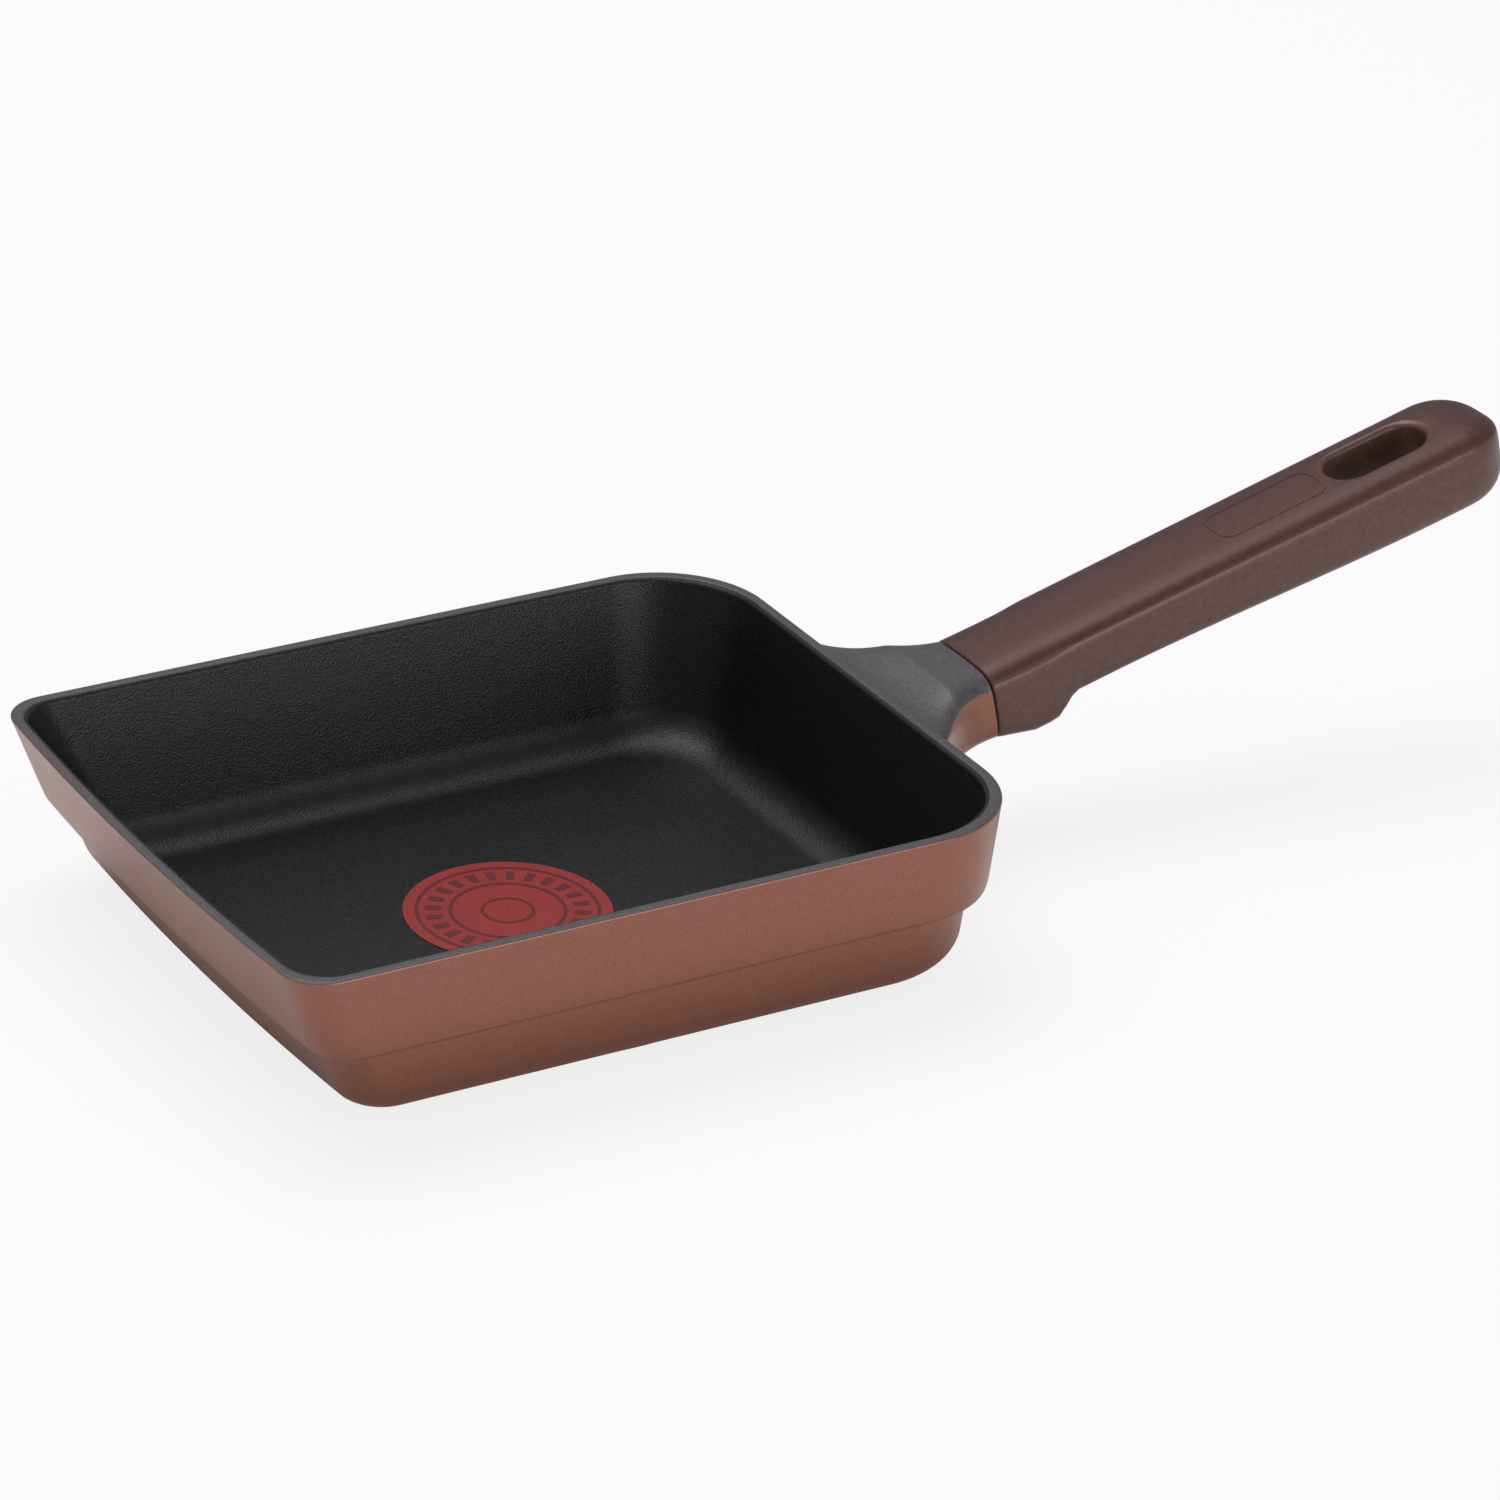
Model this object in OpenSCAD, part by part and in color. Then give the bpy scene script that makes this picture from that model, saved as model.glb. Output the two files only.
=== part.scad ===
/* [Vessel] */
// Length of the rim along the handle's direction
rim_length = 181; // [150:1:220]
// Width of the rim across the handle's direction
rim_width = 147; // [120:1:180]
// Height of the rim above the surface that the pan stands on
rim_height = 41.5; // [36:0.5:50]
// Corner radius of the rim at the pouring end
front_corner_r = 10; // [8:0.5:14]
// Corner radius of the rim at the handle end
rear_corner_r = 25.5; // [20:0.5:32]
// How far the pouring end bows outward at its middle
front_bow = 3; // [1:0.5:5]
// Extra slope of the pouring end, for turning the omelette out
front_slope = 16; // [10:1:20]
// Slope of the outer walls
outer_draft = 5; // [2:0.5:8]
// Slope of the inner walls
inner_draft = 13; // [12:0.5:15]
// Width of the flat rim
rim_land = 2.4; // [2:0.1:3.5]
// Height of the ledge where the outer wall steps inward
step_height = 20.5; // [18:0.5:24]
// Depth of that ledge
step_depth = 3.5; // [2:0.25:4]
// Radius of the rounding on the ledge's edge
step_round = 1.2; // [0.6:0.1:1.6]
// Outer radius between wall and base
base_round = 9; // [7:0.5:11]
// Inner radius between wall and floor
floor_round = 10; // [8:0.5:12]
// Thickness of the floor, without the base disc
floor_t = 3; // [2.5:0.25:4]
// Thickness of the non-stick lining
lining_t = 0.4; // [0.3:0.05:0.6]

/* [Base] */
// Diameter of the raised base disc
disc_d = 118; // [100:1:126]
// How far the base disc stands below the casting
disc_h = 1.5; // [1:0.25:2.5]
// Diameter of the induction plate
plate_d = 108; // [90:1:116]
// Thickness of the induction plate
plate_t = 0.8; // [0.5:0.1:1]
// Diameter of the holes in the induction plate
hole_d = 4.5; // [3:0.5:6]
// Distance between the rings of holes
ring_pitch = 10; // [8:1:14]
// Number of rings of holes
ring_count = 4; // [2:1:5]
// Diameter of the heat indicator
mark_d = 46; // [30:1:60]
// Thickness of the heat indicator
mark_t = 0.3; // [0.2:0.05:0.5]

/* [Handle] */
// Distance from the rim to the seam between neck and handle
neck_length = 26; // [22:1:34]
// Height of the handle's axis at the seam
seam_height = 34; // [32:0.5:38]
// Angle at which the handle rises
handle_rise = 15; // [8:1:20]
// Length of the handle from the seam to its tip
handle_length = 144; // [120:1:170]
// Width of the handle at the seam
handle_root_w = 26; // [24:0.5:30]
// Width of the handle near its tip
handle_tip_w = 27.5; // [24:0.5:32]
// Height of the handle above its axis
handle_top = 9.2; // [8:0.2:11]
// Depth of the handle below its axis at the seam
handle_under = 9.8; // [9:0.2:11]
// Extra depth of the grip at its tip
tip_swell = 2.6; // [0:0.2:4]
// Depth of the screw boss below the handle's axis
boss_under = 13; // [12:0.25:15]
// Length of the screw boss along the handle
boss_length = 18; // [16:1:24]
// Length of the hanging slot
slot_length = 26; // [20:1:34]
// Width of the hanging slot
slot_width = 12; // [8:0.5:14]
// Distance from the tip to the middle of the hanging slot
slot_setback = 31; // [28:1:40]
// Width of the neck where it leaves the wall
neck_spread = 80; // [60:2:90]

/* [Fastening] */
// Length of the tang inside the handle
tang_length = 34; // [28:1:44]
// Width of the tang
tang_w = 15; // [13:0.5:17]
// Thickness of the tang
tang_t = 8; // [6:0.5:9]
// Gap between the tang and its socket
tang_gap = 0.2; // [0.1:0.05:0.4]
// Diameter of the handle screw
screw_d = 4; // [3:0.5:5]
// Gap round the screw in the handle's wall
screw_gap = 0.25; // [0.1:0.05:0.4]
// Gap between the screw and the tapped hole
thread_gap = 0.02; // [0.01:0.01:0.05]
// Distance from the seam to the screw
screw_setback = 9.5; // [9:0.5:11]
// Diameter of the screw's head
head_d = 7; // [6.5:0.5:8]
// Height of the screw's head
head_h = 2.4; // [2:0.2:3]
// Thickness of the spring washer
washer_t = 1; // [0.8:0.1:1.2]
// Gap of the split in the spring washer
washer_split = 0.8; // [0.5:0.1:1.2]
// Gap round the head in its recess
recess_gap = 0.8; // [0.4:0.1:1]
// Thickness of the handle under the tang
seat_t = 3.4; // [2.5:0.1:4]

/* [Hidden] */
$fn = 64;
copper = [0.55, 0.36, 0.30];
charcoal = [0.13, 0.13, 0.14];
brown = [0.27, 0.19, 0.18];
steel = [0.72, 0.72, 0.73];
corner_steps = 10;
bow_steps = 8;
round_steps = 6;
section_points = 36;
seam_x = rim_length / 2 + neck_length;
floor_z = disc_h + floor_t;
bow_r = (pow(rim_width / 2, 2) + front_bow * front_bow) / (2 * front_bow);
socket_under = tang_t / 2 + tang_gap;
head_z = -socket_under - seat_t;
screw_reach = tang_t / 2;
slot_s = handle_length - slot_setback;

// One level of the vessel: a rounded rectangle, drawn in by inset, with the pouring end bowed and sloped
function arc(cx, cy, r, a, b, steps) =
    [for (i = [0:steps]) [cx + r * cos(a + (b - a) * i / steps), cy + r * sin(a + (b - a) * i / steps)]];
function outline(inset, z) =
    let (hw = rim_width / 2 - inset,
        rear = rim_length / 2 - inset,
        rr = max(rear_corner_r - 0.5 * inset, 8),
        rf = max(front_corner_r - 0.2 * inset, 4),
        push = tan(front_slope) * (rim_height - z),
        bow_x = -rim_length / 2 + bow_r + push,
        big = bow_r - inset,
        fx = bow_x - sqrt(pow(big - rf, 2) - pow(hw - rf, 2)),
        lean = asin((hw - rf) / (big - rf)))
    concat(arc(rear - rr, -hw + rr, rr, -90, 0, corner_steps),
        arc(rear - rr, hw - rr, rr, 0, 90, corner_steps),
        arc(fx, hw - rf, rf, 90, 180 - lean, corner_steps),
        [for (i = [1:bow_steps - 1]) let (a = 180 - lean + 2 * lean * i / bow_steps)
            [bow_x + big * cos(a), big * sin(a)]],
        arc(fx, -hw + rf, rf, 180 + lean, 270, corner_steps));
function level(inset, z) = [for (p = outline(inset, z)) [p[0], p[1], z]];

// Skin of triangles over a stack of rings with equal point counts, from the top down
module skin(rings) {
    n = len(rings[0]);
    m = len(rings);
    points = [for (r = rings) for (p = r) p];
    sides = [for (k = [0:m - 2]) for (i = [0:n - 1]) let (j = (i + 1) % n)
        each [[k * n + i, k * n + j, (k + 1) * n + j], [k * n + i, (k + 1) * n + j, (k + 1) * n + i]]];
    top = [for (i = [1:n - 2]) [0, i + 1, i]];
    bottom = [for (i = [1:n - 2]) [(m - 1) * n, (m - 1) * n + i, (m - 1) * n + i + 1]];
    polyhedron(points, concat(sides, top, bottom), convexity = 8);
}

// Insets and heights down the outer wall: rim, band, ledge, lower wall and base rounding
lower_inset = tan(outer_draft) * (rim_height - step_height) + step_depth;
function outer_inset(z) = lower_inset + tan(outer_draft) * (step_height - z);
outer_profile = let (r = base_round, d = outer_draft + 3, foot = disc_h + r * (1 - sin(d)),
        centre = outer_inset(foot) + r * cos(d))
    concat([[0.5, rim_height], [0, rim_height - 0.6],
        [tan(outer_draft) * (rim_height - step_height - step_round), step_height + step_round]],
        [for (i = [1:3]) let (a = 30 * i)
            [tan(outer_draft) * (rim_height - step_height) + step_round * (1 - cos(a)),
                step_height + step_round * (1 - sin(a))]],
        [[lower_inset, step_height - 0.4]],
        [for (i = [0:round_steps]) let (a = d + (90 - d) * i / round_steps)
            [centre - r * cos(a), disc_h + r - r * sin(a)]]);
// The same down the inner wall, deepened by the part of the lining's thickness that is asked for
function inner_profile(t) = let (r = floor_round - t, d = inner_draft, low = floor_z + t,
        foot = low + r * (1 - sin(d)),
        wall = rim_land + t + tan(d) * (rim_height - foot),
        centre = wall + r * cos(d))
    concat([[rim_land + t - tan(d), rim_height + 1]],
        [for (i = [0:round_steps]) let (a = d + (90 - d) * i / round_steps)
            [centre - r * cos(a), low + r - r * sin(a)]]);
module vessel(profile) skin([for (p = profile) level(p[0], p[1])]);

// A rounded section, narrower at its underside, with its half width, top and bottom
function bulge(v, power) = sign(v) * pow(abs(v), power);
function section(half, top, under, power) = [for (i = [0:section_points - 1])
    let (a = 360 * (i + 0.5) / section_points, lift = bulge(sin(a), power))
    [half * (1 - 0.07 * (1 - lift)) * bulge(cos(a), power), (top - under) / 2 + (top + under) / 2 * lift]];
// A section stood on the handle's line, turned by the given angle
function stand(sec, x, z, angle) = [for (p = sec) [x - p[1] * sin(angle), p[0], z + p[1] * cos(angle)]];
function along(s) = [seam_x + s * cos(handle_rise), seam_height + s * sin(handle_rise)];
function ease(u) = let (c = min(max(u, 0), 1)) c * c * (3 - 2 * c);

// Half width, top and underside of the handle at a distance from the seam
function grip_half(s) = (handle_root_w + (handle_tip_w - handle_root_w) * ease(s / handle_length)) / 2;
function grip_under(s) = let (grip = handle_under - 1.8 + (tip_swell + 0.6) * ease((s - 30) / (handle_length - 50)),
        boss = handle_under + (boss_under - handle_under) * min(s / 10, 1),
        u = ease((s - boss_length + 3) / 7))
    boss + (grip - boss) * u;
function nose(s) = let (r = handle_tip_w / 2, d = max(s - handle_length + r, 0) / r) sqrt(max(1 - d * d, 0.004));
function grip_ring(s) = let (k = nose(s), mid = (handle_top - grip_under(s)) / 2,
        half_t = (handle_top + grip_under(s)) / 2 * pow(k, 0.6))
    stand(section(grip_half(s) * k, mid + half_t, half_t - mid, 0.48), along(s)[0], along(s)[1], handle_rise);
grip_stations = concat([0, 5, 10, boss_length - 3, boss_length - 0.6, boss_length + 1.8, boss_length + 4],
    [for (s = [boss_length + 12 : 14 : handle_length - handle_tip_w / 2 - 4]) s],
    [for (i = [0:7]) handle_length - handle_tip_w / 2 * (1 - sin(90 * i / 7))]);

// The neck: from a wide flat root in the wall to the handle's own section at the seam
neck_start = rim_length / 2 - 4.5;
function neck_ring(v) = let (x = neck_start + (seam_x - neck_start) * v,
        half = handle_root_w / 2 + (neck_spread - handle_root_w) / 2 * pow(1 - v, 1.8),
        root_z = seam_height - 1,
        dip = 1.8 * sin(180 * min(v / 0.62, 1)),
        top = (rim_height - 0.3 - root_z) * (1 - v) + handle_top * v - dip,
        under = (root_z - step_height - 2) * (1 - v) + handle_under * v)
    stand(section(half, top, under, 0.3 + 0.18 * v), x, root_z + v, handle_rise * v);

// Turns what is drawn along the handle's own axis, X along it and Z up, into place
module on_handle() translate([seam_x, 0, seam_height]) rotate([0, -handle_rise, 0]) children();

module tang_solid(gap) {
    translate([-8, -tang_w / 2 - gap, -tang_t / 2 - gap])
        cube([8 + tang_length + gap, tang_w + 2 * gap, tang_t + 2 * gap]);
}

module plate_blank() {
    difference() {
        cylinder(d = plate_d, h = plate_t);
        for (k = [1:ring_count]) for (i = [0:6 * k - 1])
            rotate([0, 0, 60 * i / k + 15 * k]) translate([k * ring_pitch, 0, -1])
                cylinder(d = hole_d, h = plate_t + 2);
    }
}

// The casting: vessel, base disc, neck and tang, with the recess for the plate
module pan_body() color(copper) difference() {
    union() {
        difference() {
            union() {
                vessel(outer_profile);
                skin([for (i = [0:8]) neck_ring(1 - i / 8)]);
            }
            vessel(inner_profile(0));
        }
        cylinder(d = disc_d, h = disc_h + 0.5);
        on_handle() tang_solid(0);
    }
    plate_blank();
    on_handle() translate([screw_setback, 0, -tang_t])
        cylinder(d = screw_d + 2 * thread_gap, h = 2 * tang_t, $fn = 32);
}

// The lining: a thin shell on the floor and the inner walls, level with the rim
module nonstick_lining() color(charcoal) difference() {
    vessel(inner_profile(0));
    vessel(inner_profile(lining_t));
    translate([-rim_length, -rim_width, rim_height]) cube([2 * rim_length, 2 * rim_width, 5]);
}

// The heat indicator: a round mark on the lining's floor
module heat_indicator() color([0.72, 0.14, 0.12])
    translate([0, 0, floor_z + lining_t]) cylinder(d = mark_d, h = mark_t);

// The induction plate: perforated steel, flush with the base disc, held by the metal in its holes
module induction_plate() color(steel) plate_blank();

// The handle: one moulding with its socket, screw boss and hanging slot
module handle() color(brown) difference() {
    skin([for (i = [len(grip_stations) - 1 : -1 : 0]) grip_ring(grip_stations[i])]);
    on_handle() {
        tang_solid(tang_gap);
        translate([screw_setback, 0, -2 * boss_under]) {
            cylinder(d = head_d + 2 * recess_gap, h = 2 * boss_under + head_z, $fn = 32);
            cylinder(d = screw_d + 2 * screw_gap, h = 2 * boss_under, $fn = 32);
        }
        translate([slot_s, 0, -25]) linear_extrude(50) union() {
            square([slot_length - slot_width, slot_width], center = true);
            for (side = [-1, 1]) translate([side * (slot_length - slot_width) / 2, 0]) circle(d = slot_width);
        }
    }
}

// The handle screw: a pan head with a cross slot, and a shank up into the tang
module handle_screw() color(steel) on_handle() translate([screw_setback, 0, head_z - washer_t]) difference() {
    union() {
        cylinder(d = screw_d, h = washer_t - head_z + screw_reach, $fn = 32);
        rotate([180, 0, 0]) rotate_extrude($fn = 32)
            polygon([[0, 0], [head_d / 2, 0], [head_d / 2, head_h * 0.5], [head_d * 0.38, head_h * 0.85],
                [head_d * 0.22, head_h], [0, head_h]]);
    }
    for (turn = [0, 90]) rotate([0, 0, turn])
        translate([-head_d * 0.3, -0.5, -head_h - 1]) cube([head_d * 0.6, 1, 1 + head_h * 0.6]);
}

// The spring washer: a split ring between the screw's head and the boss
module spring_washer() color(steel) on_handle() translate([screw_setback, 0, head_z - washer_t]) difference() {
    cylinder(d = head_d, h = washer_t, $fn = 32);
    translate([0, 0, -1]) cylinder(d = screw_d + 2 * screw_gap, h = washer_t + 2, $fn = 32);
    translate([0, -washer_split / 2, -1]) cube([head_d, washer_split, washer_t + 2]);
}

pan_body();
nonstick_lining();
heat_indicator();
induction_plate();
handle();
handle_screw();
spring_washer();
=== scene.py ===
import math
import bmesh
import bpy
from mathutils import Matrix, Vector


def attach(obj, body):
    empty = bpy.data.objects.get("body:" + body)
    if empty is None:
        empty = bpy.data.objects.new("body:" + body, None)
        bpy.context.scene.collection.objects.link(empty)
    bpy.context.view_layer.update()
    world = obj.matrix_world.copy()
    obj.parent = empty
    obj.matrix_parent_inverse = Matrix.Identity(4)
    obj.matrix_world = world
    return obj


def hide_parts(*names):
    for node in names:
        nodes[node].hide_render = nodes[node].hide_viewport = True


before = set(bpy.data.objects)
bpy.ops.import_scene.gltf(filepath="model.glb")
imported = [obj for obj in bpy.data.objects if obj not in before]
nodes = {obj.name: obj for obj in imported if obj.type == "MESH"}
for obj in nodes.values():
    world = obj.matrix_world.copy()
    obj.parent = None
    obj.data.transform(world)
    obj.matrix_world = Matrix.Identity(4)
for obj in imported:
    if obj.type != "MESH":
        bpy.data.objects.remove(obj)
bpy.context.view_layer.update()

# Sizes in metres, as in the solid model
MM = 0.001
RIM_LENGTH = 181 * MM
RIM_WIDTH = 147 * MM
RIM_HEIGHT = 41.5 * MM
FRONT_CORNER_R = 10 * MM
REAR_CORNER_R = 25.5 * MM
FRONT_BOW = 3 * MM
FRONT_SLOPE = math.radians(16)
OUTER_DRAFT = math.radians(5)
INNER_DRAFT = math.radians(13)
RIM_LAND = 2.4 * MM
STEP_HEIGHT = 20.5 * MM
STEP_DEPTH = 3.5 * MM
STEP_ROUND = 1.2 * MM
BASE_ROUND = 9 * MM
FLOOR_ROUND = 10 * MM
DISC_D = 118 * MM
DISC_H = 1.5 * MM
PLATE_D = 108 * MM
FLOOR_Z = DISC_H + 3 * MM
LINING_T = 0.4 * MM
MARK_D = 46 * MM
MARK_T = 0.3 * MM
SEAM_X = RIM_LENGTH / 2 + 26 * MM
SEAM_Z = 34 * MM
RISE = math.radians(15)
HANDLE_LENGTH = 144 * MM
ROOT_W = 26 * MM
TIP_W = 27.5 * MM
HANDLE_TOP = 9.2 * MM
HANDLE_UNDER = 9.8 * MM
TIP_SWELL = 2.6 * MM
BOSS_UNDER = 13 * MM
BOSS_LENGTH = 18 * MM
SLOT_LENGTH = 26 * MM
SLOT_WIDTH = 12 * MM
SLOT_AT = HANDLE_LENGTH - 31 * MM
SCREW_AT = 9.5 * MM
RECESS_R = 4.3 * MM
RECESS_TOP = -7.6 * MM
NECK_SPREAD = 80 * MM
NECK_START = RIM_LENGTH / 2 - 4.5 * MM
BOW_R = ((RIM_WIDTH / 2) ** 2 + FRONT_BOW ** 2) / (2 * FRONT_BOW)
LOWER_INSET = math.tan(OUTER_DRAFT) * (RIM_HEIGHT - STEP_HEIGHT) + STEP_DEPTH

# How the scene softens edges, closes the floor and starts the neck inside the wall
EDGE = 0.25 * MM
RIM_SOFT = 0.5 * MM
CENTRE_INSET = 60 * MM
NECK_ROOT = RIM_LENGTH / 2 - 1.9 * MM

# The bare plaque on the handle, the metal in the plate's holes, and the lines on the mark
PLAQUE_AT = 82.5 * MM
PLAQUE_LENGTH = 29 * MM
PLAQUE_WIDTH = 11.5 * MM
PLAQUE_R = 3.5 * MM
LINE_WIDTH = 0.4 * MM
LINE_LIFT = 0.12 * MM
LINE_SINK = 0.2 * MM
PEG_RINGS = 4
PEG_PITCH = 10 * MM
PEG_R = 2.2 * MM
PEG_BOTTOM = 0.1 * MM
PEG_TOP = 0.9 * MM
MARK_RINGS = (("outer", 19.6 * MM, 20.4 * MM), ("inner", 12.2 * MM, 13.0 * MM),
              ("middle", 5.2 * MM, 6.0 * MM))
MARK_BARS = 24
BAR_INNER_R = 14.6 * MM
BAR_OUTER_R = 18.2 * MM
BAR_HALF_TURN = math.radians(3.4)

# How finely the curves are drawn
CORNER_STEPS = 20
BOW_STEPS = 32
SIDE_STEPS = 30
ROUND_STEPS = 14
SECTION_POINTS = 96
NECK_STEPS = 40
DISC_POINTS = 160

# Shape of the handle's and the neck's sections, and the angle past which an edge stays sharp
GRIP_POWER = 0.48
NECK_POWER = 0.3
SECTION_DRAW = 0.07
CREASE_ANGLE = math.radians(50)

# Colours, each from its dark to its light grain
COPPER = ((0.255, 0.098, 0.064), (0.345, 0.140, 0.094))
RIM_COAT = ((0.070, 0.064, 0.070), (0.128, 0.118, 0.128))
NONSTICK = ((0.0022, 0.0022, 0.0026), (0.020, 0.0205, 0.023))
GRIP_SIDE = ((0.098, 0.050, 0.040), (0.138, 0.074, 0.060))
GRIP_TOP = ((0.062, 0.024, 0.020), (0.092, 0.037, 0.031))
MARK_RED = ((0.25, 0.012, 0.012), (0.37, 0.022, 0.02))
MARK_DEEP = ((0.09, 0.007, 0.008), (0.14, 0.011, 0.011))
FLOOR_SHADE = (0.86, 0.86, 0.86, 1)
WHITE = (1, 1, 1, 1)

# The camera, found from the rim's outline in the photograph
CAM_AZIMUTH = math.radians(-31.1)
CAM_ELEVATION = math.radians(26.27)
CAM_ROLL = math.radians(2.283)
CAM_DISTANCE = 1.52861
CAM_RIGHT = 0.052958
CAM_UP = 0.039504
FOCAL_PX = 7000
FRAME_PX = 1500
SENSOR_MM = 36


def make_camera():
    ca, sa = math.cos(CAM_AZIMUTH), math.sin(CAM_AZIMUTH)
    ce, se = math.cos(CAM_ELEVATION), math.sin(CAM_ELEVATION)
    back = Vector((sa * ce, -ca * ce, se))
    level = Vector((ca, sa, 0))
    up = back.cross(level)
    right = level * math.cos(CAM_ROLL) + up * math.sin(CAM_ROLL)
    high = up * math.cos(CAM_ROLL) - level * math.sin(CAM_ROLL)
    data = bpy.data.cameras.new("camera")
    data.sensor_width = SENSOR_MM
    data.lens = FOCAL_PX / FRAME_PX * SENSOR_MM
    data.clip_end = 20
    camera = bpy.data.objects.new("camera", data)
    bpy.context.scene.collection.objects.link(camera)
    turn = Matrix((right, high, back)).transposed().to_4x4()
    place = back * CAM_DISTANCE + right * CAM_RIGHT + high * CAM_UP
    camera.matrix_world = Matrix.Translation(place) @ turn
    bpy.context.scene.camera = camera


# Small helpers for materials
def new_material(name):
    material = bpy.data.materials.new(name)
    material.use_nodes = True
    tree = material.node_tree
    return material, tree, tree.nodes["Principled BSDF"]


def noise(tree, scale, detail=4, stretch=(1, 1, 1)):
    where = tree.nodes.new("ShaderNodeTexCoord")
    mapping = tree.nodes.new("ShaderNodeMapping")
    mapping.inputs["Scale"].default_value = stretch
    made = tree.nodes.new("ShaderNodeTexNoise")
    made.inputs["Scale"].default_value = scale
    made.inputs["Detail"].default_value = detail
    tree.links.new(where.outputs["Object"], mapping.inputs["Vector"])
    tree.links.new(mapping.outputs["Vector"], made.inputs["Vector"])
    return made.outputs["Fac"]


def ramp(tree, source, low, high, colours):
    made = tree.nodes.new("ShaderNodeValToRGB")
    made.color_ramp.elements[0].position = low
    made.color_ramp.elements[1].position = high
    for element, colour in zip(made.color_ramp.elements, colours):
        element.color = (*colour, 1)
    tree.links.new(source, made.inputs["Fac"])
    return made.outputs["Color"]


def value_range(tree, source, low, high):
    made = tree.nodes.new("ShaderNodeMapRange")
    made.inputs["To Min"].default_value = low
    made.inputs["To Max"].default_value = high
    tree.links.new(source, made.inputs["Value"])
    return made.outputs["Result"]


def bump(tree, shader, source, strength, distance):
    made = tree.nodes.new("ShaderNodeBump")
    made.inputs["Strength"].default_value = strength
    made.inputs["Distance"].default_value = distance
    tree.links.new(source, made.inputs["Height"])
    tree.links.new(made.outputs["Normal"], shader.inputs["Normal"])


def copper_paint():
    material, tree, shader = new_material("copper_paint")
    flake = noise(tree, 2600, 3)
    tree.links.new(ramp(tree, flake, 0.3, 0.7, COPPER), shader.inputs["Base Color"])
    shader.inputs["Metallic"].default_value = 0.7
    tree.links.new(value_range(tree, noise(tree, 60, 3), 0.3, 0.38), shader.inputs["Roughness"])
    shader.inputs["Coat Weight"].default_value = 0.25
    shader.inputs["Coat Roughness"].default_value = 0.2
    bump(tree, shader, flake, 0.12, 0.00004)
    return material


def rim_metal():
    material, tree, shader = new_material("rim_coat")
    grain = noise(tree, 1800, 4, (1, 1, 0.2))
    tree.links.new(ramp(tree, grain, 0.3, 0.7, RIM_COAT), shader.inputs["Base Color"])
    shader.inputs["Metallic"].default_value = 0.45
    tree.links.new(value_range(tree, grain, 0.38, 0.55), shader.inputs["Roughness"])
    bump(tree, shader, grain, 0.3, 0.00005)
    return material


def nonstick():
    material, tree, shader = new_material("nonstick")
    fine = noise(tree, 3200, 2)
    tree.links.new(ramp(tree, fine, 0.45, 0.75, NONSTICK), shader.inputs["Base Color"])
    tree.links.new(value_range(tree, noise(tree, 1400, 3), 0.26, 0.44), shader.inputs["Roughness"])
    shader.inputs["Specular IOR Level"].default_value = 0.4
    bump(tree, shader, noise(tree, 2400, 2), 0.8, 0.00017)
    return material


def phenolic(name, colours, rough):
    material, tree, shader = new_material(name)
    mottle = noise(tree, 900, 4)
    tree.links.new(ramp(tree, mottle, 0.3, 0.7, colours), shader.inputs["Base Color"])
    tree.links.new(value_range(tree, mottle, rough, rough + 0.08), shader.inputs["Roughness"])
    shader.inputs["Metallic"].default_value = 0.3
    bump(tree, shader, noise(tree, 2500, 3), 0.25, 0.00006)
    return material


def steel(name, shade):
    material, tree, shader = new_material(name)
    brushed = noise(tree, 700, 4, (0.08, 1, 1))
    greys = [(grey, grey, grey) for grey in (shade, shade * 1.25)]
    tree.links.new(ramp(tree, brushed, 0.3, 0.7, greys), shader.inputs["Base Color"])
    shader.inputs["Metallic"].default_value = 1
    tree.links.new(value_range(tree, brushed, 0.25, 0.4), shader.inputs["Roughness"])
    bump(tree, shader, brushed, 0.2, 0.00004)
    return material


def indicator_coat(name, colours):
    material, tree, shader = new_material(name)
    speck = noise(tree, 2400, 3)
    tree.links.new(ramp(tree, speck, 0.32, 0.68, colours), shader.inputs["Base Color"])
    tree.links.new(value_range(tree, speck, 0.4, 0.55), shader.inputs["Roughness"])
    bump(tree, shader, speck, 0.5, 0.0001)
    return material


# Meshes
def fix_normals(mesh):
    edit = bmesh.new()
    edit.from_mesh(mesh)
    bmesh.ops.recalc_face_normals(edit, faces=edit.faces)
    edit.to_mesh(mesh)
    edit.free()


def make_object(name, points, faces, materials, picks=None, smooth=True):
    mesh = bpy.data.meshes.new(name)
    mesh.from_pydata([tuple(p) for p in points], [], faces)
    for material in materials:
        mesh.materials.append(material)
    if picks:
        for polygon, pick in zip(mesh.polygons, picks):
            polygon.material_index = pick
    mesh.validate()
    fix_normals(mesh)
    made = bpy.data.objects.new(name, mesh)
    bpy.context.scene.collection.objects.link(made)
    if smooth:
        mesh.shade_smooth()
    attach(made, "root")
    return made


def loft(rings, loop=False):
    """Points and faces through a row of rings, capped at both ends or closed in a loop."""
    count = len(rings[0])
    points = [p for ring in rings for p in ring]
    faces = []
    last = len(rings) if loop else len(rings) - 1
    for k in range(last):
        after = (k + 1) % len(rings)
        for i in range(count):
            j = (i + 1) % count
            faces.append((k * count + i, after * count + i, after * count + j, k * count + j))
    if not loop:
        faces.append(tuple(range(count)))
        faces.append(tuple(reversed(range((len(rings) - 1) * count, len(rings) * count))))
    return points, faces


def arc(cx, cy, r, start, end, steps):
    turn = [start + (end - start) * i / steps for i in range(steps + 1)]
    return [(cx + r * math.cos(a), cy + r * math.sin(a)) for a in turn]


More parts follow.
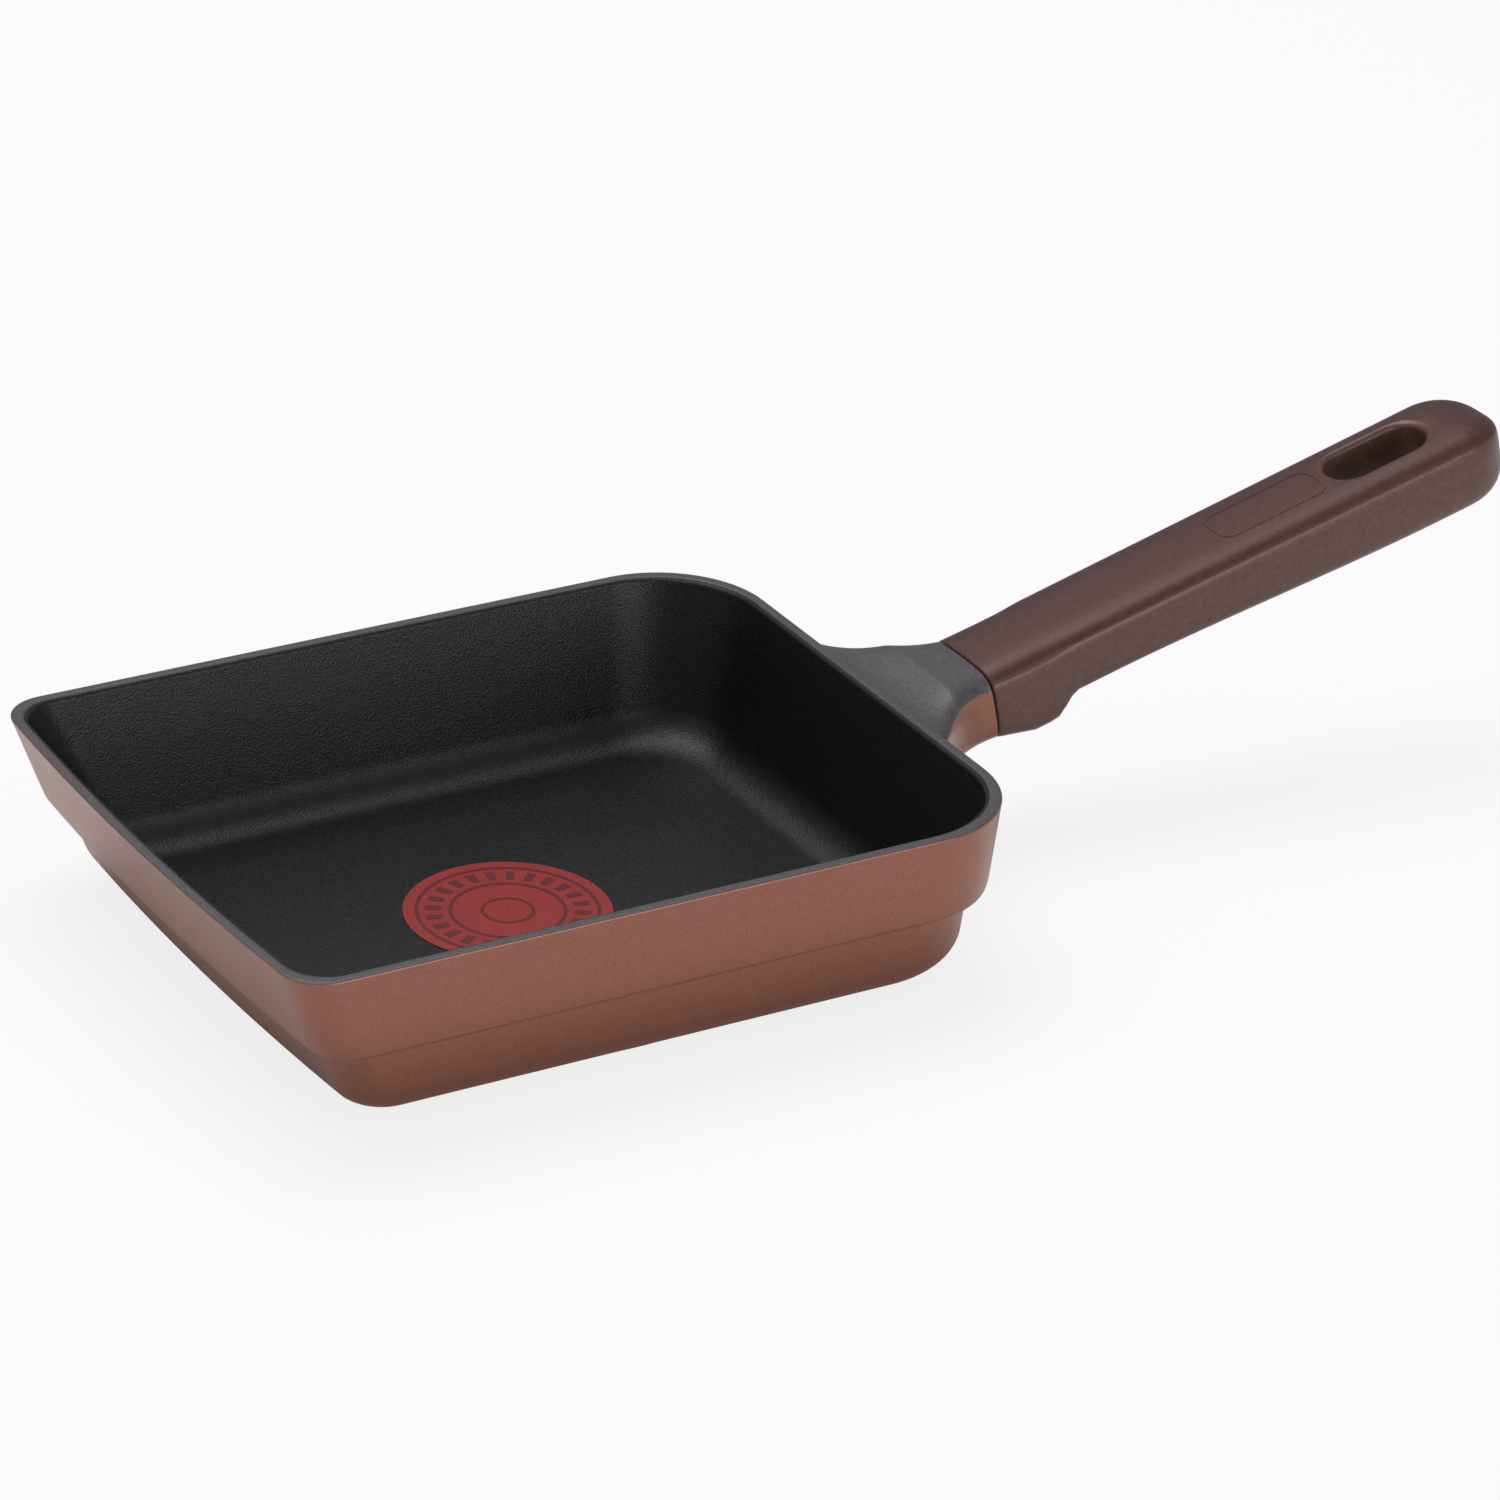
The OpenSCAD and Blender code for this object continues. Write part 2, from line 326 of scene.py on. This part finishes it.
def line(a, b, steps):
    """The points between a and b, without either end."""
    return [(a[0] + (b[0] - a[0]) * i / steps, a[1] + (b[1] - a[1]) * i / steps) for i in range(1, steps)]


def outline(inset, z):
    """The vessel's outline at a height, drawn in by the inset, with the front pushed back by its slope."""
    hw = RIM_WIDTH / 2 - inset
    rear = RIM_LENGTH / 2 - inset
    rr = max(REAR_CORNER_R - 0.5 * inset, 8 * MM)
    rf = max(FRONT_CORNER_R - 0.2 * inset, 4 * MM)
    push = math.tan(FRONT_SLOPE) * (RIM_HEIGHT - z)
    bow_x = -RIM_LENGTH / 2 + BOW_R + push
    big = BOW_R - inset
    fx = bow_x - math.sqrt((big - rf) ** 2 - (hw - rf) ** 2)
    lean = math.asin((hw - rf) / (big - rf))
    half = math.pi / 2
    near_rear = arc(rear - rr, -hw + rr, rr, -half, 0, CORNER_STEPS)
    far_rear = arc(rear - rr, hw - rr, rr, 0, half, CORNER_STEPS)
    far_front = arc(fx, hw - rf, rf, half, math.pi - lean, CORNER_STEPS)
    bow = arc(bow_x, 0, big, math.pi - lean, math.pi + lean, BOW_STEPS)[1:-1]
    near_front = arc(fx, -hw + rf, rf, math.pi + lean, 3 * half, CORNER_STEPS)
    return (near_rear + line(near_rear[-1], far_rear[0], SIDE_STEPS) + far_rear
            + line(far_rear[-1], far_front[0], SIDE_STEPS) + far_front + bow + near_front
            + line(near_front[-1], near_rear[0], SIDE_STEPS))


def level(inset, z):
    return [(x, y, z) for x, y in outline(inset, z)]


def outer_profile():
    """Insets and heights up the outer wall, from the underside to the rim's edge."""
    r = BASE_ROUND
    d = OUTER_DRAFT + math.radians(3)
    foot = DISC_H + r * (1 - math.sin(d))
    centre = LOWER_INSET + math.tan(OUTER_DRAFT) * (STEP_HEIGHT - foot) + r * math.cos(d)
    turns = [d + (math.pi / 2 - d) * i / ROUND_STEPS for i in range(ROUND_STEPS, -1, -1)]
    profile = [(CENTRE_INSET, DISC_H), (centre + 0.4 * MM, DISC_H)]
    profile += [(centre - r * math.cos(a), DISC_H + r - r * math.sin(a)) for a in turns]
    band = math.tan(OUTER_DRAFT) * (RIM_HEIGHT - STEP_HEIGHT)
    profile += [(LOWER_INSET + 0.02 * MM, STEP_HEIGHT - 0.9 * MM),
                (LOWER_INSET - 0.02 * MM, STEP_HEIGHT - 0.3 * MM),
                (LOWER_INSET - 0.4 * MM, STEP_HEIGHT)]
    for i in range(6, -1, -1):
        a = math.pi / 2 * i / 6
        profile.append((band + STEP_ROUND * (1 - math.cos(a)),
                        STEP_HEIGHT + STEP_ROUND * (1 - math.sin(a))))
    top = RIM_HEIGHT - RIM_SOFT
    for part in (0.06, 0.3, 0.7, 0.97):
        z = STEP_HEIGHT + STEP_ROUND + (top - STEP_HEIGHT - STEP_ROUND) * part
        profile.append((math.tan(OUTER_DRAFT) * (RIM_HEIGHT - z), z))
    return profile


def rim_profile():
    """Insets and heights over the rim, with both of its edges rounded."""
    turns = [math.pi / 2 * i / 4 for i in range(5)]
    outer = [(RIM_SOFT * (1 - math.cos(a)), RIM_HEIGHT - RIM_SOFT * (1 - math.sin(a))) for a in turns]
    inner = [(RIM_LAND - EDGE * (1 - math.sin(a)), RIM_HEIGHT - EDGE * (1 - math.cos(a))) for a in turns]
    return outer + inner


def inner_profile(t):
    """Insets and heights down the inner wall and onto the floor, moved in by t."""
    r = FLOOR_ROUND - t
    d = INNER_DRAFT
    low = FLOOR_Z + t
    foot = low + r * (1 - math.sin(d))
    wall = RIM_LAND + t + math.tan(d) * (RIM_HEIGHT - foot)
    centre = wall + r * math.cos(d)
    turns = [d + (math.pi / 2 - d) * i / ROUND_STEPS for i in range(ROUND_STEPS + 1)]
    top = [(RIM_LAND + t + math.tan(d) * (RIM_HEIGHT - z), z)
           for z in (RIM_HEIGHT - drop * MM for drop in (0.3, 1.2, 10, 20))]
    fillet = [(centre - r * math.cos(a), low + r - r * math.sin(a)) for a in turns]
    return top + fillet + [(centre + 0.4 * MM, low), (CENTRE_INSET, low)]


def make_vessel(copper, rim, lining):
    """The casting's walls and floor, coloured by where each band of faces lies."""
    outer = outer_profile()
    land = rim_profile()
    inner = inner_profile(0)
    profile = outer + land + inner
    points, faces = loft([level(*p) for p in profile])
    count = len(outline(0, RIM_HEIGHT))
    picks = []
    for k in range(len(profile) - 1):
        pick = 0 if k < len(outer) + 2 else 1 if k < len(outer) + len(land) else 2
        picks += [pick] * count
    picks += [0, 2]
    vessel = make_object("vessel", points, faces, [copper, rim, lining], picks=picks)
    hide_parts("pan_body")


def make_lining(lining):
    """The coating: its face inside, and its back just off the casting."""
    face = inner_profile(LINING_T)
    back = inner_profile(0.03 * MM)
    profile = face[::-1] + back
    points, faces = loft([level(*p) for p in profile])
    made = make_object("lining", points, faces, [lining])
    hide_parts("nonstick_lining")


def bulge(v, power):
    """A power of v that keeps its sign."""
    return math.copysign(abs(v) ** power, v)


def section(half, top, under, power):
    """A rounded box as a ring around the handle's line, a little narrower below than above."""
    result = []
    for i in range(SECTION_POINTS):
        a = 2 * math.pi * (i + 0.5) / SECTION_POINTS
        lift = bulge(math.sin(a), power)
        y = half * (1 - SECTION_DRAW * (1 - lift)) * bulge(math.cos(a), power)
        result.append((y, (top - under) / 2 + (top + under) / 2 * lift))
    return result


def stand(shape, x, z, angle):
    """Stand a section up at a point of the handle's line."""
    return [(x - t * math.sin(angle), y, z + t * math.cos(angle)) for y, t in shape]


def ease(u):
    """A smooth step from 0 to 1."""
    c = min(max(u, 0), 1)
    return c * c * (3 - 2 * c)


def grip_half(s):
    """Half the grip's width, s along the handle."""
    return (ROOT_W + (TIP_W - ROOT_W) * ease(s / HANDLE_LENGTH)) / 2


def grip_under(s):
    """How far the grip reaches below its line: the boss first, then a slow swell to the tip."""
    swell = (TIP_SWELL + 0.6 * MM) * ease((s - 30 * MM) / (HANDLE_LENGTH - 50 * MM))
    grip = HANDLE_UNDER - 1.8 * MM + swell
    boss = HANDLE_UNDER + (BOSS_UNDER - HANDLE_UNDER) * min(s / (10 * MM), 1)
    return boss + (grip - boss) * ease((s - BOSS_LENGTH + 3 * MM) / (7 * MM))


def grip_ring(s, gap):
    """The grip's section, rounded off at the tip and drawn in by a gap."""
    r = TIP_W / 2
    d = max(s - HANDLE_LENGTH + r, 0) / r
    k = math.sqrt(max(1 - d * d, 0.004))
    mid = (HANDLE_TOP - grip_under(s)) / 2
    half_t = (HANDLE_TOP + grip_under(s)) / 2 * k ** 0.6
    shape = section(grip_half(s) * k - gap, mid + half_t - gap, half_t - mid - gap, GRIP_POWER)
    return stand(shape, SEAM_X + s * math.cos(RISE), SEAM_Z + s * math.sin(RISE), RISE)


def top_pick(i, low=0.16, high=0.84):
    """Which material a face of a section's ring takes: 1 on the upper side, 0 elsewhere."""
    part = (i + 0.5) / SECTION_POINTS * 2
    return 1 if low < part < high else 0


def on_handle(s, y, t):
    """The point s along the handle, y across it and t above its line."""
    return (SEAM_X + s * math.cos(RISE) - t * math.sin(RISE), y,
            SEAM_Z + s * math.sin(RISE) + t * math.cos(RISE))


def top_at(s, y):
    """Where the grip's upper face lies, s along the handle and y across it."""
    side = min(abs(y) / grip_half(s), 1) ** (1 / GRIP_POWER)
    mid = (HANDLE_TOP - grip_under(s)) / 2
    return mid + (HANDLE_TOP + grip_under(s)) / 2 * (1 - side ** 2) ** (GRIP_POWER / 2)


def make_plaque_line(material):
    """The raised line of the bare plaque on the handle's top."""
    long, wide = PLAQUE_LENGTH / 2 - PLAQUE_R, PLAQUE_WIDTH / 2 - PLAQUE_R
    rings = []
    for quarter, (ax, ay) in enumerate(((1, 1), (-1, 1), (-1, -1), (1, -1))):
        for i in range(9):
            turn = math.pi / 2 * (quarter + i / 8)
            ring = []
            for r, lift in ((PLAQUE_R - LINE_WIDTH, -LINE_SINK), (PLAQUE_R, -LINE_SINK),
                            (PLAQUE_R, LINE_LIFT), (PLAQUE_R - LINE_WIDTH, LINE_LIFT)):
                s = PLAQUE_AT + ax * long + r * math.cos(turn)
                y = ay * wide + r * math.sin(turn)
                ring.append(on_handle(s, y, top_at(s, y) + lift))
            rings.append(ring)
    points, faces = loft(rings, loop=True)
    made = make_object("plaque_line", points, faces, [material], smooth=False)


def make_tool(name, rings):
    """A shape that is only there to be cut away."""
    points, faces = loft(rings)
    mesh = bpy.data.meshes.new(name)
    mesh.from_pydata(points, [], faces)
    fix_normals(mesh)
    tool = bpy.data.objects.new(name, mesh)
    bpy.context.scene.collection.objects.link(tool)
    return tool


def slot_cutter():
    """A rounded slot that widens in a soft lip at both faces of the handle."""
    rings = []
    straight = (SLOT_LENGTH - SLOT_WIDTH) / 2
    low, high = -grip_under(SLOT_AT), HANDLE_TOP
    lip = 1.6 * MM
    depths = [low - 3 * MM] + [low + lip * i / 5 for i in range(6)]
    depths += [high - lip * (5 - i) / 5 for i in range(6)] + [high + 3 * MM]
    for t in depths:
        near = max(1 - min(high - t, t - low) / lip, 0)
        flare = lip * (1 - math.sqrt(max(1 - min(near, 1) ** 2, 0)))
        r = SLOT_WIDTH / 2 + flare
        ring = []
        for side in (1, -1):
            for i in range(17):
                a = -math.pi / 2 + math.pi * i / 16
                along = SLOT_AT + side * (straight + r * math.cos(a))
                ring.append(on_handle(along, side * r * math.sin(a), t))
        rings.append(ring)
    return make_tool("slot_tool", rings)


def screw_cutter():
    """The round recess under the boss, up to the washer's seat."""
    rings = [[on_handle(SCREW_AT + RECESS_R * math.cos(a), RECESS_R * math.sin(a), t)
              for a in (2 * math.pi * i / 48 for i in range(48))]
             for t in (-BOSS_UNDER - 4 * MM, RECESS_TOP)]
    return make_tool("screw_tool", rings)


def cut(target, tool):
    """Cut the tool's shape out of the target, and remove the tool."""
    boolean = target.modifiers.new("cut", "BOOLEAN")
    boolean.object = tool
    boolean.solver = "EXACT"
    bpy.context.view_layer.update()
    graph = bpy.context.evaluated_depsgraph_get()
    shaped = bpy.data.meshes.new_from_object(target.evaluated_get(graph))
    target.modifiers.clear()
    target.data = shaped
    bpy.data.objects.remove(tool)


def make_handle(side, top):
    """The grip, with closer rings at the boss and the tip, its slot and its screw recess."""
    r = TIP_W / 2
    stations = [0, 0.25 * MM, 0.7 * MM] + [i * 2 * MM for i in range(1, 13)]
    reach = HANDLE_LENGTH - r - 24 * MM
    stations += [24 * MM + reach * i / 30 for i in range(1, 31)]
    stations += [HANDLE_LENGTH - r * (1 - math.sin(math.pi / 2 * i / 14)) for i in range(1, 15)]
    gaps = [0.5 * MM, 0.15 * MM] + [0] * (len(stations) - 2)
    rings = [grip_ring(s, gap) for s, gap in zip(stations, gaps)]
    points, faces = loft(rings)
    picks = [top_pick(i) for _ in range(len(rings) - 1) for i in range(SECTION_POINTS)] + [0, 0]
    made = make_object("grip", points, faces, [side, top], picks=picks)
    cut(made, slot_cutter())
    cut(made, screw_cutter())
    made.data.shade_smooth()
    made.data.set_sharp_from_angle(angle=CREASE_ANGLE)
    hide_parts("handle")


def neck_ring(v):
    """The neck's section, v from the vessel's wall to the handle's seam."""
    x = NECK_START + (SEAM_X - 0.5 * MM - NECK_START) * v
    half = ROOT_W / 2 + (NECK_SPREAD - ROOT_W) / 2 * (1 - v) ** 1.8
    root_z = SEAM_Z - 1 * MM
    dip = 1.8 * MM * math.sin(math.pi * min(v / 0.62, 1))
    top = (RIM_HEIGHT - 0.3 * MM - root_z) * (1 - v) + HANDLE_TOP * v - dip
    under = (root_z - STEP_HEIGHT - 2 * MM) * (1 - v) + HANDLE_UNDER * v
    power = NECK_POWER + (GRIP_POWER - NECK_POWER) * v
    return stand(section(half, top, under, power), x, root_z + MM * v, RISE * v)


def make_neck(copper, coat):
    """The neck, from just inside the rear wall's face to the handle."""
    first = (NECK_ROOT - NECK_START) / (SEAM_X - NECK_START)
    rings = [neck_ring(first + (1 - first) * k / NECK_STEPS) for k in range(NECK_STEPS + 1)]
    points, faces = loft(rings)
    picks = [top_pick(i, 0.13, 0.87) for _ in range(NECK_STEPS) for i in range(SECTION_POINTS)] + [0, 0]
    made = make_object("neck", points, faces, [copper, coat], picks=picks)
    made.data.set_sharp_from_angle(angle=CREASE_ANGLE)


def circle(x, y, r, z, count):
    turns = [2 * math.pi * i / count for i in range(count)]
    return [(x + r * math.cos(a), y + r * math.sin(a), z) for a in turns]


def make_base(copper):
    """The disc that the pan stands on, with the hollow that holds the induction plate."""
    plate, disc = PLATE_D / 2, DISC_D / 2
    profile = [(plate - 0.1 * MM, 0.9 * MM), (plate - 0.1 * MM, 0.3 * MM), (plate + 0.1 * MM, 0),
               (disc - 0.5 * MM, 0), (disc - 0.15 * MM, 0.15 * MM), (disc, 0.5 * MM),
               (disc, DISC_H + 0.2 * MM), (disc - 2 * MM, DISC_H + 0.3 * MM)]
    points, faces = loft([circle(0, 0, r, z, DISC_POINTS) for r, z in profile])
    made = make_object("base_disc", points, faces, [copper])
    made.data.set_sharp_from_angle(angle=math.radians(40))


def make_pegs(copper):
    """The base metal that fills the holes of the induction plate."""
    points, faces = [], []
    for k in range(1, PEG_RINGS + 1):
        for i in range(6 * k):
            turn = math.radians(60 * i / k + 15 * k)
            x, y = k * PEG_PITCH * math.cos(turn), k * PEG_PITCH * math.sin(turn)
            more, sides = loft([circle(x, y, PEG_R, z, 24) for z in (PEG_BOTTOM, PEG_TOP)])
            faces += [tuple(len(points) + c for c in side) for side in sides]
            points += more
    made = make_object("base_pegs", points, faces, [copper], smooth=False)


def ring_band(name, r0, r1, z0, z1, material, start=0.0, end=2 * math.pi, steps=120):
    """A flat band with a small height, whole or cut to a stretch of its circle."""
    whole = end - start > 2 * math.pi - 1e-6
    turns = [start + (end - start) * i / steps for i in range(steps if whole else steps + 1)]
    corner = [(r0, z0), (r1, z0), (r1, z1), (r0, z1)]
    rings = [[(r * math.cos(a), r * math.sin(a), z) for r, z in corner] for a in turns]
    points, faces = loft(rings, loop=whole)
    made = make_object(name, points, faces, [material], smooth=False)
    return made


def make_indicator(red, deep):
    """A red disc with three thin rings and a circle of radial bars."""
    z = FLOOR_Z + LINING_T
    top = z + MARK_T
    disc = ring_band("indicator", 0.2 * MM, MARK_D / 2, z, top - 0.08 * MM, red)
    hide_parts("heat_indicator")
    line_top = top - 0.02 * MM
    for which, r0, r1 in MARK_RINGS:
        ring_band(f"indicator_ring_{which}", r0, r1, z, line_top, deep)
    for i in range(MARK_BARS):
        middle = 2 * math.pi * i / MARK_BARS
        ring_band(f"indicator_bar_{i:02d}", BAR_INNER_R, BAR_OUTER_R, z, line_top, deep,
                  middle - BAR_HALF_TURN, middle + BAR_HALF_TURN, 4)


def dress_nodes():
    """Steel for the solids that are shown as they are."""
    for name, coat, shade in (("induction_plate", "plate_steel", 0.55), ("handle_screw", "screw_steel", 0.6),
                              ("spring_washer", "washer_steel", 0.4)):
        materials = nodes[name].data.materials
        materials.clear()
        materials.append(steel(coat, shade))


# Stage and light
def make_floor():
    """A pale floor that the camera sees nearly white."""
    size = 6
    corners = [(-size, -size, 0), (size, -size, 0), (size, size, 0), (-size, size, 0)]
    mesh = bpy.data.meshes.new("floor")
    mesh.from_pydata(corners, [], [(0, 1, 2, 3)])
    floor = bpy.data.objects.new("floor", mesh)
    bpy.context.scene.collection.objects.link(floor)
    floor.location.z = -0.0002
    material, tree, shader = new_material("floor")
    shader.inputs["Base Color"].default_value = FLOOR_SHADE
    shader.inputs["Roughness"].default_value = 0.9
    shader.inputs["Specular IOR Level"].default_value = 0.1
    glow = tree.nodes.new("ShaderNodeEmission")
    glow.inputs["Color"].default_value = WHITE
    path = tree.nodes.new("ShaderNodeLightPath")
    mix = tree.nodes.new("ShaderNodeMixShader")
    share = tree.nodes.new("ShaderNodeMath")
    share.operation = "MULTIPLY"
    share.inputs[1].default_value = 0.82
    tree.links.new(path.outputs["Is Camera Ray"], share.inputs[0])
    tree.links.new(share.outputs[0], mix.inputs["Fac"])
    tree.links.new(shader.outputs[0], mix.inputs[1])
    tree.links.new(glow.outputs[0], mix.inputs[2])
    tree.links.new(mix.outputs[0], tree.nodes["Material Output"].inputs["Surface"])
    mesh.materials.append(material)


def area_light(name, place, aim, size, power):
    data = bpy.data.lights.new(name, "AREA")
    data.shape = "RECTANGLE"
    data.size, data.size_y = size
    data.energy = power
    lamp = bpy.data.objects.new(name, data)
    bpy.context.scene.collection.objects.link(lamp)
    lamp.location = place
    lamp.rotation_euler = (Vector(aim) - Vector(place)).to_track_quat("-Z", "Y").to_euler()


def make_lights():
    world = bpy.data.worlds.new("studio")
    bpy.context.scene.world = world
    world.use_nodes = True
    back = world.node_tree.nodes["Background"]
    back.inputs["Color"].default_value = WHITE
    back.inputs["Strength"].default_value = 0.36
    area_light("near_box", (0.3, -1.5, 0.36), (0, 0, 0.02), (1.2, 0.6), 8)
    area_light("top_box", (-0.1, 0.5, 1.5), (0, 0, 0), (1.4, 1.0), 16)
    area_light("front_box", (-1.5, 0.2, 0.8), (0, 0, 0.02), (0.8, 0.6), 0.6)


make_camera()
copper = copper_paint()
rim = rim_metal()
lining = nonstick()
make_vessel(copper, rim, lining)
make_lining(lining)
make_neck(copper, rim)
make_base(copper)
make_pegs(copper)
grip_top = phenolic("grip_top", GRIP_TOP, 0.42)
make_handle(phenolic("grip_side", GRIP_SIDE, 0.34), grip_top)
make_plaque_line(grip_top)
make_indicator(indicator_coat("indicator_red", MARK_RED), indicator_coat("indicator_deep", MARK_DEEP))
dress_nodes()
make_floor()
make_lights()
bpy.context.scene.view_settings.view_transform = "Standard"
